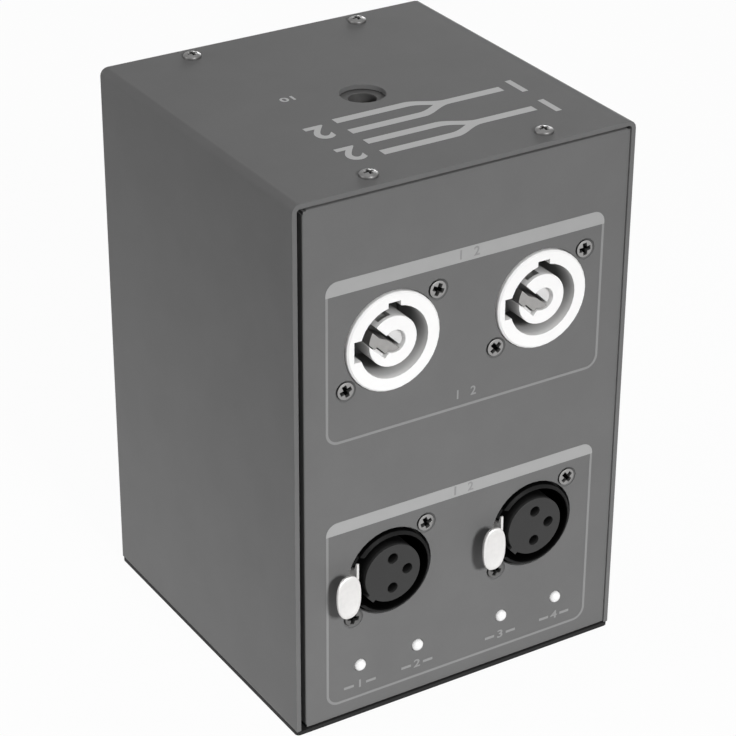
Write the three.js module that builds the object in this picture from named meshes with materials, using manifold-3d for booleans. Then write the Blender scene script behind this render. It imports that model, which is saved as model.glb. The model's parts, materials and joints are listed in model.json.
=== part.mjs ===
// A small upright box that splits one mains feed and one data line into two of each.
// Millimetres, +Z up. The origin is the middle of the base, the sockets face -Y.
import * as THREE from "three";
import { mergeVertices } from "three/addons/utils/BufferGeometryUtils.js";
import Module from "manifold-3d";

const wasm = await Module();
wasm.setup();

// Driving dimensions
const boxWidth = 90;
const boxDepth = 90;
const boxHeight = 137;
const coverSheet = 1.2;
const panelSheet = 1.5;
const baseSheet = 1;
const bendRadius = 2; // outside radius of the cover's folds
const panelBend = 1.5; // outside radius of the panels' folds
const panelGapLeft = 1.2; // the open line between the cover and the front panel's left side
const panelGapRight = 0.1; // the front panel is screwed down hard against the cover's right side
const panelGapTop = 0.5; // under the cover's top
const panelInset = 0.5; // how far a panel's face stands behind the cover's cut edge
const panelFlange = 13; // depth of the folds round a panel
const socketPitchShare = 4 / 9; // of the box's width: between the two columns of sockets
const powerFromTop = 39; // from the box's top down to the mains sockets' axes
const dataHeight = 37.5; // of the data sockets' axes above the base
const lampHeight = 13.8;
const lampPitch = 16; // between the two lamps under one socket
const clampHole = 11;

// Clearances
const seatGap = 0.1; // between pieces that are screwed or pressed together
const runningGap = 0.3; // round whatever turns
const leadGap = 0.3; // between a lead's cut end and what it is wired to
const overrun = 1; // how far a cutting tool reaches past the face that it cuts
const weldDistance = 1e-4;

// Facets of round shapes
const fineSides = 36;
const plainSides = 24;
const screwSides = 12;
const leadSteps = 5; // curve segments of half a lead's round section
const bendSteps = 2; // curve segments of half a fold

const halfWidth = boxWidth / 2;
const halfDepth = boxDepth / 2;
const coverUnderside = boxHeight - coverSheet;
const panelFace = halfDepth - panelInset; // distance of either panel's outer face from the middle
const panelBack = panelSheet + seatGap; // where a socket's flange starts behind that face
const powerHeight = boxHeight - powerFromTop;
const panelShift = (panelGapLeft - panelGapRight) / 2; // the front panel's middle stands right of the box's
const columns = [-0.5, 0.5].map((side) => side * socketPitchShare * boxWidth + panelShift);

// A closed geometry as a solid that can be joined and cut, with its faces turned outwards.
function solidFrom(geometry) {
  const bare = new THREE.BufferGeometry();
  bare.setAttribute("position", geometry.getAttribute("position"));
  bare.setIndex(geometry.index);
  const merged = mergeVertices(bare, weldDistance);
  const vertProperties = new Float32Array(merged.getAttribute("position").array);
  const corners = [];
  for (let i = 0; i < merged.index.count; i += 3) {
    const [a, b, c] = [0, 1, 2].map((k) => merged.index.getX(i + k));
    if (a !== b && b !== c && c !== a) corners.push([a, b, c]);
  }
  const build = (faces) =>
    new wasm.Manifold(
      new wasm.Mesh({ numProp: 3, vertProperties, triVerts: new Uint32Array(faces.flat()) }),
    );
  const solid = build(corners);
  return solid.volume() < 0 ? build(corners.map(([a, b, c]) => [a, c, b])) : solid;
}

function geometryFrom(solid) {
  const { vertProperties, triVerts } = solid.getMesh();
  const geometry = new THREE.BufferGeometry();
  geometry.setAttribute("position", new THREE.BufferAttribute(vertProperties, 3));
  geometry.setIndex(new THREE.BufferAttribute(triVerts, 1));
  return geometry;
}

function join(...bodies) {
  return geometryFrom(bodies.map(solidFrom).reduce((all, body) => all.add(body)));
}

function cut(body, ...tools) {
  const solids = tools.flat().map(solidFrom);
  return geometryFrom(solids.reduce((rest, tool) => rest.subtract(tool), solidFrom(body)));
}

// What two bodies have in common.
function common(first, second) {
  return geometryFrom(solidFrom(first).intersect(solidFrom(second)));
}

// Basic forms. A range is written [from, to].
function block(x, y, z) {
  const geometry = new THREE.BoxGeometry(x[1] - x[0], y[1] - y[0], z[1] - z[0]);
  return geometry.translate((x[0] + x[1]) / 2, (y[0] + y[1]) / 2, (z[0] + z[1]) / 2);
}

// A round bar along Y.
function bar(radius, y, sides) {
  const geometry = new THREE.CylinderGeometry(radius, radius, y[1] - y[0], sides);
  return geometry.translate(0, (y[0] + y[1]) / 2, 0);
}

// A profile of [radius, y] pairs turned about the Y axis.
function turned(profile, sides) {
  return new THREE.LatheGeometry(
    profile.map(([radius, y]) => new THREE.Vector2(radius, y)),
    sides,
  );
}

// An outline drawn in X and Z, with its thickness along Y.
function plate(shape, y, curveSegments = bendSteps) {
  const depth = y[1] - y[0];
  const geometry = new THREE.ExtrudeGeometry(shape, { depth, bevelEnabled: false, curveSegments });
  return geometry.rotateX(Math.PI / 2).translate(0, y[1], 0);
}

// A bar along Y stood upright, so that what faced -Y faces +Z.
function upright(geometry) {
  return geometry.rotateX(-Math.PI / 2);
}

function roundedRectangle(width, height, radius) {
  const [x, z] = [width / 2 - radius, height / 2 - radius];
  const shape = new THREE.Shape();
  shape.absarc(x, z, radius, 0, Math.PI / 2);
  shape.absarc(-x, z, radius, Math.PI / 2, Math.PI);
  shape.absarc(-x, -z, radius, Math.PI, (3 * Math.PI) / 2);
  shape.absarc(x, -z, radius, (3 * Math.PI) / 2, 2 * Math.PI);
  return shape;
}

// Section of a sheet folded into a U: the web's outer face lies on y = 0, the legs point to -y.
function foldedSection(web, leg, sheet, radius) {
  const half = web / 2;
  const fold = half - radius;
  const inner = radius - sheet;
  const shape = new THREE.Shape();
  shape.moveTo(-half, -leg);
  shape.lineTo(-half, -radius);
  shape.absarc(-fold, -radius, radius, Math.PI, Math.PI / 2, true);
  shape.absarc(fold, -radius, radius, Math.PI / 2, 0, true);
  shape.lineTo(half, -leg);
  shape.lineTo(half - sheet, -leg);
  if (inner > 0) {
    shape.absarc(fold, -radius, inner, 0, Math.PI / 2, false);
    shape.absarc(-fold, -radius, inner, Math.PI / 2, Math.PI, false);
  } else {
    shape.lineTo(half - sheet, -sheet);
    shape.lineTo(sheet - half, -sheet);
  }
  shape.lineTo(sheet - half, -leg);
  return shape;
}

// Section of a block with the same rounded web and no hollow.
function roundedSection(web, leg, radius) {
  const half = web / 2;
  const shape = new THREE.Shape();
  shape.moveTo(-half, -leg);
  shape.lineTo(-half, -radius);
  shape.absarc(radius - half, -radius, radius, Math.PI, Math.PI / 2, true);
  shape.absarc(half - radius, -radius, radius, Math.PI / 2, 0, true);
  shape.lineTo(half, -leg);
  return shape;
}

// A section carried along a length centred on the middle, its axes laid on the given ones.
function folded(section, length, xAxis, yAxis, origin) {
  const geometry = new THREE.ExtrudeGeometry(section, {
    depth: length,
    bevelEnabled: false,
    curveSegments: bendSteps,
  });
  const zAxis = new THREE.Vector3().crossVectors(xAxis, yAxis);
  geometry.translate(0, 0, -length / 2);
  geometry.applyMatrix4(new THREE.Matrix4().makeBasis(xAxis, yAxis, zAxis));
  return geometry.translate(...origin);
}

// Directions of the box
const right = new THREE.Vector3(1, 0, 0);
const back = new THREE.Vector3(0, 1, 0);
const front = new THREE.Vector3(0, -1, 0);
const up = new THREE.Vector3(0, 0, 1);

// Finishes
function finish(color, roughness, metalness) {
  return new THREE.MeshStandardMaterial({ color, roughness, metalness });
}
const greyPaint = finish(0x6e6e6c, 0.55, 0.1);
const blackPaint = finish(0x202020, 0.55, 0.1);
const blackPlastic = finish(0x101010, 0.35, 0);
const greyPlastic = finish(0x4c4c4c, 0.6, 0);
const whitePlastic = finish(0xf2f2ee, 0.4, 0);
const bluePlastic = finish(0x2a5aa8, 0.4, 0);
const brightMetal = finish(0xd8d8d2, 0.25, 1);
const screwMetal = finish(0x9a9a96, 0.3, 1);
const springMetal = finish(0x8c8c8c, 0.35, 1);
const milkyLens = finish(0xfafaf6, 0.3, 0);
const boardGreen = finish(0x1f5a34, 0.5, 0);
const moduleBlack = finish(0x1a1a1a, 0.6, 0);
const terminalGreen = finish(0x3a8a4a, 0.5, 0);
const leadBlack = finish(0x151515, 0.6, 0);

// Every piece of the box is a named mesh in this group or in a group inside it.
const splitter = new THREE.Group();

function piece(name, geometry, material, parent = splitter) {
  const flat = geometry.index ? geometry.toNonIndexed() : geometry;
  flat.computeVertexNormals();
  const mesh = new THREE.Mesh(flat, material);
  mesh.name = name;
  parent.add(mesh);
  return mesh;
}

// Screws with a cross recess. The head faces -Y: the sheet that it holds starts on y = 0, the crown
// stands out of it, and the rim and cone of a countersunk head lie in it.
const socketScrew = {
  headRadius: 2.1,
  seatRadius: 2.7,
  crown: 0.25,
  crownSide: 0,
  rim: 0.15,
  cone: 1.1,
  shankRadius: 1.5,
  length: 8,
  tip: 0.6,
  recessLength: 2.8,
  recessWidth: 0.9,
  recessDepth: 1,
};
const coverScrew = {
  headRadius: 2.2,
  seatRadius: 1.4,
  crown: 1.2,
  crownSide: 0.5,
  rim: 0,
  cone: 0,
  shankRadius: 1.25,
  length: 6,
  tip: 0.5,
  recessLength: 2.4,
  recessWidth: 0.65,
  recessDepth: 0.9,
};
const baseScrew = {
  headRadius: 2.35,
  seatRadius: 2.5,
  crown: 0,
  crownSide: 0,
  rim: 0.1,
  cone: 0.8,
  shankRadius: 1.25,
  length: 6,
  tip: 0.5,
  recessLength: 2.6,
  recessWidth: 0.65,
  recessDepth: 0.7,
};
const screwGap = 0.15; // round a screw's shank
const crownShares = [0.6, 0.86]; // of the head's radius and of the crown: where the crown starts to fall

function screwSolid(spec) {
  const { headRadius, crown, crownSide, rim, cone, shankRadius, length, tip } = spec;
  const body = turned(
    [
      [0, -crown],
      [headRadius * crownShares[0], -crown * crownShares[1]],
      [headRadius, -crownSide],
      [headRadius, rim],
      [shankRadius, rim + cone],
      [shankRadius, length - tip],
      [shankRadius - tip, length],
      [0, length],
    ],
    screwSides,
  );
  const long = [-spec.recessLength / 2, spec.recessLength / 2];
  const wide = [-spec.recessWidth / 2, spec.recessWidth / 2];
  const deep = [-crown - overrun, spec.recessDepth - crown];
  return cut(body, block(long, deep, wide), block(wide, deep, long));
}

// The space that a screw's head and shank need in a sheet, from outside the sheet's face.
function screwSeat(spec, sheet) {
  const bore = spec.shankRadius + screwGap;
  return turned(
    [
      [0, -overrun],
      [spec.seatRadius, -overrun],
      [spec.seatRadius, spec.rim],
      [bore, spec.rim + spec.cone],
      [bore, sheet + overrun],
      [0, sheet + overrun],
    ],
    screwSides,
  );
}

const socketScrewGeometry = screwSolid(socketScrew);
const coverScrewGeometry = screwSolid(coverScrew);
const baseScrewGeometry = screwSolid(baseScrew);
const socketScrewBore = socketScrew.shankRadius + screwGap;

// Cover: left side, top and right side from one sheet, standing on the base plate
const screwFromSide = 22;
const screwFromEdge = 5;
const screwPlaces = [-1, 1].flatMap((y) =>
  [-1, 1].map((x) => [x * (halfWidth - screwFromSide), y * (halfDepth - screwFromEdge)]),
);

const coverBody = folded(
  foldedSection(boxWidth, boxHeight - baseSheet - seatGap, coverSheet, bendRadius),
  boxDepth,
  right,
  up,
  [0, 0, boxHeight],
);
const clampOpening = upright(bar(clampHole / 2, [-overrun, coverSheet + overrun], plainSides));
const coverCuts = [
  clampOpening.translate(0, 0, boxHeight),
  ...screwPlaces.map(([x, y]) =>
    upright(screwSeat(coverScrew, coverSheet)).translate(x, y, boxHeight),
  ),
];
piece("cover", cut(coverBody, coverCuts), greyPaint);

// Clamp plate: a threaded plate under the middle of the top
const clamp = { width: 44, thickness: 3, bossRadius: 7, bossHeight: 8, bore: 6.8, corner: 4 };
const clampTop = coverUnderside - seatGap;
const clampPad = plate(
  roundedRectangle(clamp.width, clamp.width, clamp.corner),
  [0, clamp.thickness],
);
const clampBoss = bar(clamp.bossRadius, [0, clamp.thickness + clamp.bossHeight], plainSides);
const clampBore = bar(
  clamp.bore / 2,
  [-overrun, clamp.thickness + clamp.bossHeight + overrun],
  plainSides,
);
piece(
  "clamp_plate",
  upright(cut(join(clampPad, clampBoss), clampBore)).translate(0, 0, clampTop),
  screwMetal,
);

// Base plate: a flat black sheet under everything, its edge a thin dark line all round the foot
const baseCorner = 1;
const baseSeats = screwPlaces.map(([x, y]) =>
  upright(screwSeat(baseScrew, baseSheet)).rotateX(Math.PI).translate(x, y, 0),
);
const baseSolid = upright(plate(roundedRectangle(boxWidth, boxDepth, baseCorner), [-baseSheet, 0]));
piece("base_plate", cut(baseSolid, baseSeats), blackPaint);

// Front and rear panels: shallow trays, folded back on all four sides, notched where folds meet
const panelWidth = boxWidth - 2 * coverSheet - panelGapLeft - panelGapRight;
const panelFoot = baseSheet + seatGap;
const panelTop = coverUnderside - panelGapTop;
const panelHeight = panelTop - panelFoot;
const panelMiddle = (panelTop + panelFoot) / 2;
const panelNotch = 1; // side of the square left out at each corner

function panelBody(outward) {
  const across = right.clone().multiplyScalar(-outward.y);
  const layer = (sheet) => {
    const radius = panelBend - sheet;
    const leg = panelFlange - sheet + Math.sign(sheet) * overrun;
    const face = [0, outward.y * (panelFace - sheet), panelMiddle];
    const [width, height] = [panelWidth - 2 * sheet, panelHeight - 2 * sheet];
    return common(
      folded(roundedSection(height, leg, radius), width, up, outward, face),
      folded(roundedSection(width, leg, radius), height, across, outward, face),
    );
  };
  const notches = [-1, 1].flatMap((x) =>
    [-1, 1].map((z) =>
      block(
        [-panelNotch, panelNotch],
        [-panelFace - overrun, panelFace + overrun],
        [-panelNotch, panelNotch],
      ).translate((x * panelWidth) / 2, 0, panelMiddle + (z * panelHeight) / 2),
    ),
  );
  return cut(layer(0), layer(panelSheet), notches);
}

// The holes for the shanks of the cover's and the base's screws in a panel's folds
function foldHoles(side) {
  const reach = [0, panelSheet + 2 * overrun];
  const hole = (spec) => upright(bar(spec.shankRadius + screwGap, reach, screwSides));
  return screwPlaces
    .filter(([, y]) => y * side > 0)
    .flatMap(([x, y]) => [
      hole(coverScrew).translate(x, y, panelTop + overrun),
      hole(baseScrew).translate(x, y, panelFoot + panelSheet + overrun),
    ]);
}

// Sockets. Each is drawn about its own axis, Y, with the panel's outer face on y = 0.
const powerSocket = {
  ringRadius: 12.2,
  bore: 8.9,
  proud: 1,
  edge: 0.4,
  bodyLength: 20,
  flangeWidth: 31,
  flangeHeight: 26,
  flangeThickness: 3,
  flangeCorner: 3,
  screwAcross: 12,
  screwUp: 9.5,
  holeGap: 0.2,
  topKeyWidth: 3.2,
  topKeyRadius: 10,
  sideKeyWidth: 5.2,
  sideKeyRadius: 10.4,
  keyDepth: 10,
};
// The core's pocket and the blade in it are drawn in a frame turned by slotAngle: x along the deep
// slot beside the blade, towards the opening in the core's rim, and y across the slot, over the blade.
const powerCore = {
  radius: 6.2,
  recess: 0.5,
  floor: 12,
  slotAngle: 135,
  pocketRadius: 2.85,
  pocketX: -0.39,
  pocketY: -0.18,
  shelfDepth: 1.5, // of the pocket's shallow half
  shelfY: -0.35,
  pocketDepth: 6,
  openingX: -1.2,
  openingY: 3.5,
  wideX: 2.1,
  wideY: 4.25,
  windowWidth: 3.3,
  windowAngle: 107,
  windowDepth: 1.6,
  windowFrom: 0.6,
  windowTo: 9,
  bossRadius: 4.2,
  bossLength: 3,
};
const powerContact = {
  sink: 0.4,
  gap: 0.25, // to the core, all round
  slotY: 0.2, // the blade's side along the slot, at the slot's blind end
  bendX: 1,
  bendY: 0.55,
  stepX: 3.4,
  stepY: 1.35,
  tipRadius: 6,
  curveSegments: 3,
};

function powerHousing() {
  const { ringRadius, bore, proud, edge, bodyLength, keyDepth } = powerSocket;
  const ring = turned(
    [
      [0, -proud],
      [ringRadius - edge, -proud],
      [ringRadius, edge - proud],
      [ringRadius, bodyLength],
      [0, bodyLength],
    ],
    fineSides,
  );
  const flange = plate(
    roundedRectangle(powerSocket.flangeWidth, powerSocket.flangeHeight, powerSocket.flangeCorner),
    [panelBack, panelBack + powerSocket.flangeThickness],
  );
  const keyReach = [-proud - overrun, keyDepth];
  const topKey = block(
    [-powerSocket.topKeyWidth / 2, powerSocket.topKeyWidth / 2],
    keyReach,
    [0, powerSocket.topKeyRadius],
  );
  const sideKey = block(
    [-powerSocket.sideKeyRadius, 0],
    keyReach,
    [-powerSocket.sideKeyWidth / 2, powerSocket.sideKeyWidth / 2],
  );
  return cut(
    join(ring, flange),
    bar(bore, [-proud - overrun, bodyLength + overrun], fineSides),
    topKey,
    sideKey,
    screwHoles(powerSocket.screwAcross, powerSocket.screwUp, powerSocket.flangeThickness),
  );
}

// The two flange holes of a socket, upper right and lower left.
function screwHoles(across, rise, thickness) {
  const reach = [0, panelBack + thickness + overrun];
  return [-1, 1].map((side) =>
    bar(socketScrewBore, reach, screwSides).translate(side * across, 0, side * rise),
  );
}

const coreFront = powerCore.recess - powerSocket.proud;
const slotTurn = -THREE.MathUtils.degToRad(powerCore.slotAngle);

function polygon(points) {
  return new THREE.Shape(points.map(([x, y]) => new THREE.Vector2(x, y)));
}

// What is cut out of the core round the blade: a disc that is shallow on one side of the slot, an
// opening from the disc to the rim, wider near the rim, and a shelf that fills the opening's corner.
function powerCorePocket() {
  const { pocketRadius, pocketX, pocketY, shelfDepth, shelfY, pocketDepth } = powerCore;
  const { openingX, openingY, wideX, wideY } = powerCore;
  const past = powerCore.radius + overrun;
  const shallow = [coreFront - overrun, coreFront + shelfDepth];
  const deep = [coreFront - overrun, coreFront + pocketDepth];
  const disc = (reach) => bar(pocketRadius, reach, plainSides).translate(pocketX, 0, pocketY);
  const opening = [
    [openingX, 0],
    [past, 0],
    [past, wideY],
    [wideX, wideY],
    [wideX, openingY],
    [openingX, openingY],
  ];
  const tools = [
    disc(shallow),
    common(disc(deep), block([-past, past], deep, [shelfY, past])),
    plate(polygon(opening), deep),
    block([openingX, wideX + seatGap], shallow, [openingY - seatGap, wideY]),
  ];
  return tools.map((tool) => tool.rotateY(slotTurn));
}

function powerCoreSolid() {
  const { radius, floor } = powerCore;
  const stem = bar(radius, [coreFront, floor + overrun], fineSides);
  const disc = bar(powerSocket.bore - seatGap, [floor, powerSocket.bodyLength], fineSides);
  const boss = bar(
    powerCore.bossRadius,
    [powerSocket.bodyLength - overrun, powerSocket.bodyLength + powerCore.bossLength],
    plainSides,
  );
  const window = block(
    [radius - powerCore.windowDepth, radius + overrun],
    [powerCore.windowFrom, powerCore.windowTo],
    [-powerCore.windowWidth / 2, powerCore.windowWidth / 2],
  ).rotateY(-THREE.MathUtils.degToRad(powerCore.windowAngle));
  return cut(join(stem, disc, boss), powerCorePocket(), window);
}

// The blade, which fills the core's pocket and opening but for the slot along one side of it
function powerContactSolid() {
  const { sink, gap, slotY, bendX, bendY, stepX, stepY, tipRadius } = powerContact;
  const { pocketX, pocketY, wideY } = powerCore;
  const radius = powerCore.pocketRadius - gap;
  const sideX = powerCore.openingX + gap;
  const rootStart = Math.PI - Math.asin((slotY - pocketY) / radius);
  const rootEnd = Math.acos((sideX - pocketX) / radius);
  const outline = new THREE.Shape();
  outline.absarc(pocketX, pocketY, radius, rootStart, rootEnd, true);
  outline.lineTo(sideX, powerCore.openingY - gap);
  outline.lineTo(powerCore.wideX + gap, powerCore.openingY - gap);
  outline.lineTo(powerCore.wideX + gap, wideY - gap);
  const [tipStart, tipEnd] = [wideY - gap, stepY].map((y) => Math.asin(y / tipRadius));
  outline.absarc(0, 0, tipRadius, tipStart, tipEnd, true);
  outline.lineTo(stepX, stepY);
  outline.lineTo(bendX, bendY);
  const deep = [coreFront + sink, coreFront + powerCore.pocketDepth - gap];
  return plate(outline, deep, powerContact.curveSegments).rotateY(slotTurn);
}

const dataSocket = {
  barrelRadius: 10.7,
  bore: 9.9,
  holeRadius: 11.4,
  proud: 1.1,
  edge: 0.5,
  bodyLength: 16,
  boreDepth: 13.5,
  flangeWidth: 26,
  flangeThickness: 2.4,
  flangeCorner: 3,
  screwOffset: 9.9,
};
const dataInsert = {
  radius: 7.5,
  proud: 1.4,
  tailRadius: 6,
  tailLength: 2,
  contactHole: 1.4,
  contactCircle: 4,
  contactAngles: [90, 0, -90],
  contactDepth: 8,
  lugAngle: 222,
  lugWidth: 2.4,
  lugReach: 8.2,
};
// The thumb latch turns on a pin that lies along Z, left of the bore and just behind the panel.
const latch = {
  pinAcross: 11.4,
  pinDepth: 3.5,
  pinRadius: 0.6,
  eyeRadius: 1.6,
  plateFrom: 9.6,
  plateOut: 2,
  sheet: 0.6,
  halfHeight: 3.6,
  wingHalf: 6, // the plate widens in front of the panel
  wingTip: 0.4, // depth of a wing at its end
  wingBack: 0.7,
  wingRelief: 0.6, // depth of the notch behind the panel's face that the wings swing into
  slotGap: 0.5,
  reachOut: 5.3,
  reachIn: 9.6,
  hookDepth: 1.5,
  hookLength: 2.2,
  hookHalf: 2,
  padAcross: 14,
  padHalfWidth: 3.1,
  padHalfHeight: 5.65,
  padPower: 2.4, // 2 would be an ellipse, more is squarer
  padSheet: 1,
  padSides: 32,
  bridgeHalf: 2.2,
  housingWall: 2.2,
  housingReach: 13.9,
  housingLength: 9.5,
};
const latchSpring = { sheet: 0.4, halfWidth: 5.6, tongueHalf: 1.8, from: 4.6, bend: 7.6, gap: 0.3 };

function barrel(length) {
  const { barrelRadius, proud, edge } = dataSocket;
  return turned(
    [
      [0, -proud],
      [barrelRadius - edge, -proud],
      [barrelRadius, edge - proud],
      [barrelRadius, length],
      [0, length],
    ],
    fineSides,
  );
}

function dataFlange() {
  return plate(
    roundedRectangle(dataSocket.flangeWidth, dataSocket.flangeWidth, dataSocket.flangeCorner),
    [panelBack, panelBack + dataSocket.flangeThickness],
  );
}

// A bar along Z at a latch's hinge.
function hingeBar(radius, halfLength, sides) {
  return bar(radius, [-halfLength, halfLength], sides)
    .rotateX(Math.PI / 2)
    .translate(-latch.pinAcross, latch.pinDepth, 0);
}

const slotHalf = latch.halfHeight + latch.slotGap;
const housingHalf = slotHalf + latch.housingWall;

function dataShell() {
  const { bore, proud, bodyLength, boreDepth, flangeThickness, screwOffset } = dataSocket;
  const housing = block(
    [-latch.housingReach, 0],
    [panelBack, latch.housingLength],
    [-housingHalf, housingHalf],
  );
  const slot = block(
    [-latch.housingReach - overrun, 0],
    [-proud - overrun, latch.reachIn + latch.hookLength],
    [-slotHalf, slotHalf],
  );
  const wingHalf = latch.wingHalf + latch.slotGap;
  const wingSlot = block(
    [-latch.housingReach - overrun, 0],
    [-proud - overrun, latch.wingRelief],
    [-wingHalf, wingHalf],
  );
  const tail = dataInsert.tailRadius + seatGap;
  return cut(
    join(barrel(bodyLength), dataFlange(), housing),
    bar(bore, [-proud - overrun, boreDepth], fineSides),
    bar(tail, [boreDepth - overrun, bodyLength + overrun], plainSides),
    slot,
    wingSlot,
    hingeBar(latch.pinRadius + seatGap, housingHalf + overrun, screwSides),
    screwHoles(screwOffset, screwOffset, flangeThickness),
  );
}

function atAngle(geometry, radius, degrees) {
  const angle = THREE.MathUtils.degToRad(degrees);
  return geometry.translate(radius * Math.cos(angle), 0, radius * Math.sin(angle));
}

function dataInsertSolid() {
  const { radius, tailRadius, tailLength, contactHole, contactCircle } = dataInsert;
  const front = -dataInsert.proud;
  const seat = dataSocket.boreDepth - seatGap;
  const body = bar(radius, [front, seat], fineSides);
  const tail = bar(tailRadius, [seat - overrun, dataSocket.bodyLength + tailLength], plainSides);
  const holes = dataInsert.contactAngles.map((degrees) =>
    atAngle(
      bar(contactHole, [front - overrun, front + dataInsert.contactDepth], screwSides),
      contactCircle,
      degrees,
    ),
  );
  const lug = block(
    [radius - overrun, dataInsert.lugReach],
    [front, seat],
    [-dataInsert.lugWidth / 2, dataInsert.lugWidth / 2],
  ).rotateY(-THREE.MathUtils.degToRad(dataInsert.lugAngle));
  return cut(join(body, tail, lug), holes);
}

// A rounded outline between an ellipse and a rectangle: |x/a|^n + |y/b|^n = 1.
function squareOval(halfWidth, halfHeight, power, sides) {
  const points = Array.from({ length: sides }, (_, index) => {
    const angle = (2 * Math.PI * index) / sides;
    const bulge = (value) => Math.sign(value) * Math.abs(value) ** (2 / power);
    return [halfWidth * bulge(Math.cos(angle)), halfHeight * bulge(Math.sin(angle))];
  });
  return polygon(points);
}

// Thumb pad, bridge, plate, hinge eye and hook of the latch in one piece of bright metal.
function latchSolid() {
  const outer = -latch.plateFrom - latch.sheet;
  const inner = -latch.plateFrom;
  const height = [-latch.halfHeight, latch.halfHeight];
  const neck = block([outer, inner], [-latch.plateOut, latch.reachIn], height);
  const wingShape = polygon([
    [latch.wingHalf, -latch.plateOut],
    [latch.wingHalf, latch.wingTip - latch.plateOut],
    [latch.halfHeight, -latch.wingBack],
    [-latch.halfHeight, -latch.wingBack],
    [-latch.wingHalf, latch.wingTip - latch.plateOut],
    [-latch.wingHalf, -latch.plateOut],
  ]);
  const wings = new THREE.ExtrudeGeometry(wingShape, {
    depth: latch.sheet,
    bevelEnabled: false,
  })
    .rotateY(-Math.PI / 2)
    .translate(inner, 0, 0);
  const eye = hingeBar(latch.eyeRadius, latch.halfHeight, screwSides);
  const padBack = latch.padSheet - latch.reachOut;
  const oval = squareOval(latch.padHalfWidth, latch.padHalfHeight, latch.padPower, latch.padSides);
  const pad = plate(oval, [-latch.reachOut, padBack]).translate(-latch.padAcross, 0, 0);
  const bridgeShape = polygon([
    [inner, latch.sheet - latch.plateOut],
    [inner, -latch.plateOut],
    [latch.sheet - latch.padAcross, padBack - seatGap],
    [-latch.padAcross, padBack - seatGap],
    [outer, latch.sheet - latch.plateOut],
  ]);
  const bridge = new THREE.ExtrudeGeometry(bridgeShape, {
    depth: 2 * latch.bridgeHalf,
    bevelEnabled: false,
  }).translate(0, 0, -latch.bridgeHalf);
  const hookShape = new THREE.Shape();
  hookShape.moveTo(outer, latch.reachIn - latch.hookLength);
  hookShape.lineTo(inner, latch.reachIn - latch.hookLength);
  hookShape.lineTo(inner + latch.hookDepth, latch.reachIn - latch.hookLength / 2);
  hookShape.lineTo(inner + latch.hookDepth, latch.reachIn);
  hookShape.lineTo(outer, latch.reachIn);
  const hook = new THREE.ExtrudeGeometry(hookShape, {
    depth: 2 * latch.hookHalf,
    bevelEnabled: false,
  }).translate(0, 0, -latch.hookHalf);
  return cut(
    join(neck, wings, eye, bridge, pad, hook),
    hingeBar(latch.pinRadius + runningGap, latch.halfHeight + overrun, screwSides),
  );
}

// A leaf spring on the back of the latch's housing, its tongue against the hook's arm.
function latchSpringSolid() {
  const { sheet, halfWidth, tongueHalf, from, bend, gap } = latchSpring;
  const outer = -latch.housingReach - seatGap - sheet;
  const tip = -latch.plateFrom - latch.sheet - gap;
  const tongue = new THREE.Shape();
  tongue.moveTo(outer, from);
  tongue.lineTo(outer, bend);
  tongue.lineTo(tip, latch.reachIn - sheet / 2);
  tongue.lineTo(tip, latch.reachIn - sheet - sheet / 2);
  tongue.lineTo(outer + sheet, bend - sheet);
  tongue.lineTo(outer + sheet, from);
  const strip = new THREE.ExtrudeGeometry(tongue, {
    depth: 2 * tongueHalf,
    bevelEnabled: false,
  }).translate(0, 0, -tongueHalf);
  return join(
    block([outer, outer + sheet], [from, bend - sheet], [-halfWidth, halfWidth]),
    strip,
  );
}

const dataInlet = {
  floor: 11,
  bodyLength: 13.5,
  pinRadius: 1.2,
  pinGap: 0.1,
  pinTip: 1.2,
  pinRoot: 1.8,
  pinAngles: [0, 180, 270],
  ribWidth: 2.2,
  ribHeight: 1.3,
  bossRadius: 3.4,
  bossLength: 3,
};

function dataInletShell() {
  const { floor, bodyLength, pinRadius, pinGap, pinRoot, ribWidth, ribHeight } = dataInlet;
  const boss = bar(
    dataInlet.bossRadius,
    [bodyLength - overrun, bodyLength + dataInlet.bossLength],
    plainSides,
  );
  const bored = cut(
    join(barrel(bodyLength), dataFlange(), boss),
    bar(dataSocket.bore, [-dataSocket.proud - overrun, floor], fineSides),
    screwHoles(dataSocket.screwOffset, dataSocket.screwOffset, dataSocket.flangeThickness),
    dataInlet.pinAngles.map((degrees) =>
      atAngle(
        bar(pinRadius + pinGap, [floor - overrun, floor + pinRoot + pinGap], screwSides),
        dataInsert.contactCircle,
        degrees,
      ),
    ),
  );
  const rib = block(
    [-ribWidth / 2, ribWidth / 2],
    [0, floor + seatGap],
    [dataSocket.bore - ribHeight, dataSocket.barrelRadius - seatGap],
  );
  return join(bored, rib);
}

function dataPinSolid() {
  const { pinRadius, pinTip, floor, pinRoot } = dataInlet;
  return turned(
    [
      [0, 0],
      [pinRadius - pinTip / 2, 0],
      [pinRadius, pinTip],
      [pinRadius, floor + pinRoot],
      [0, floor + pinRoot],
    ],
    screwSides,
  );
}

// Indicator lamps: a domed lens that carries on as a light guide to the board
const lamp = { radius: 1.5, dome: 1.1, collarRadius: 2.4, collarLength: 1, holeGap: 0.15 };
const boardDepth = dataSocket.bodyLength + dataInsert.tailLength + leadGap; // behind the panel's face

function lampSolid() {
  const { radius, dome, collarRadius, collarLength } = lamp;
  const arc = [0, 30, 60, 90].map((degrees) => {
    const angle = THREE.MathUtils.degToRad(degrees);
    return [radius * Math.sin(angle), -dome * Math.cos(angle)];
  });
  return turned(
    [
      ...arc,
      [radius, panelBack],
      [collarRadius, panelBack],
      [collarRadius, panelBack + collarLength],
      [radius, panelBack + collarLength],
      [radius, boardDepth - leadGap],
      [0, boardDepth - leadGap],
    ],
    screwSides,
  );
}

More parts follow.
